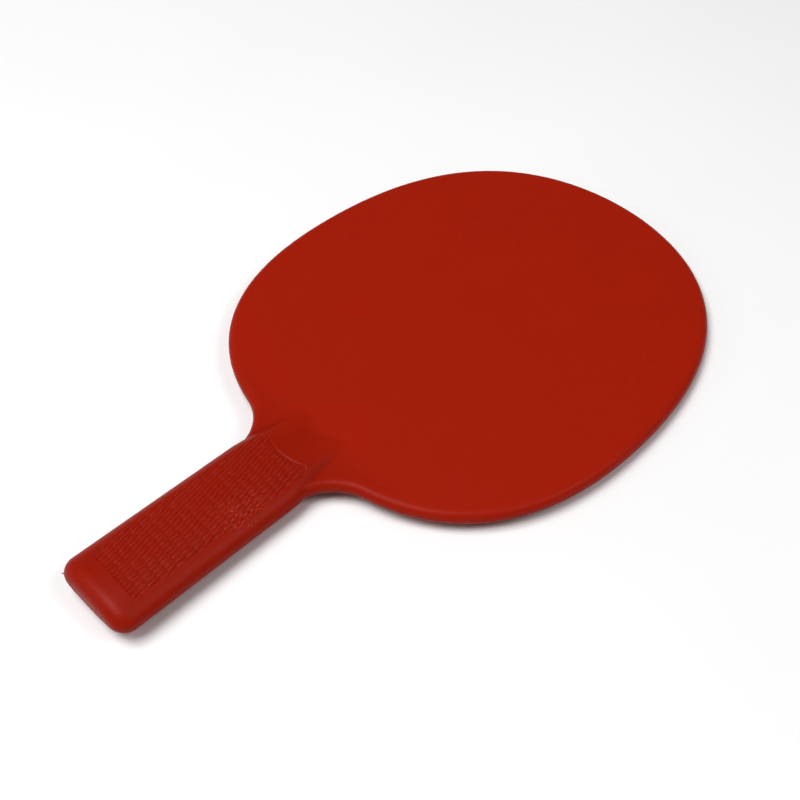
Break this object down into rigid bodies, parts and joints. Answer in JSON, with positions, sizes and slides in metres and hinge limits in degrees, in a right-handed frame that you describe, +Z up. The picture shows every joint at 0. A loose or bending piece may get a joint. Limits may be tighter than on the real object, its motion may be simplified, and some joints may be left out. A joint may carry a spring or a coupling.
{
  "type": "table-tennis bat",
  "caption": "One-colour moulded plastic table-tennis bat with an oval blade and a block handle with sunk grip panels.",
  "frame": {"origin": "middle of the bat's box, at the height of the surface that it lies on", "axes": "+X from the butt of the handle to the tip of the blade, +Z up out of the front striking face, +Y across the blade; the blade leans 1.2 degrees down towards its tip, because the bat lies on the thicker handle"},
  "size_m": [0.2502, 0.1528, 0.0138],
  "materials": {
    "moulding": "red polyethylene, satin, with a fine pebble grain",
    "seam": "red polyethylene, trimmed weld flash, slightly rougher"
  },
  "bodies": {
    "root": {"front_shell": "moulding", "back_shell": "moulding", "weld_seam": "seam"}
  },
  "joints": []
}
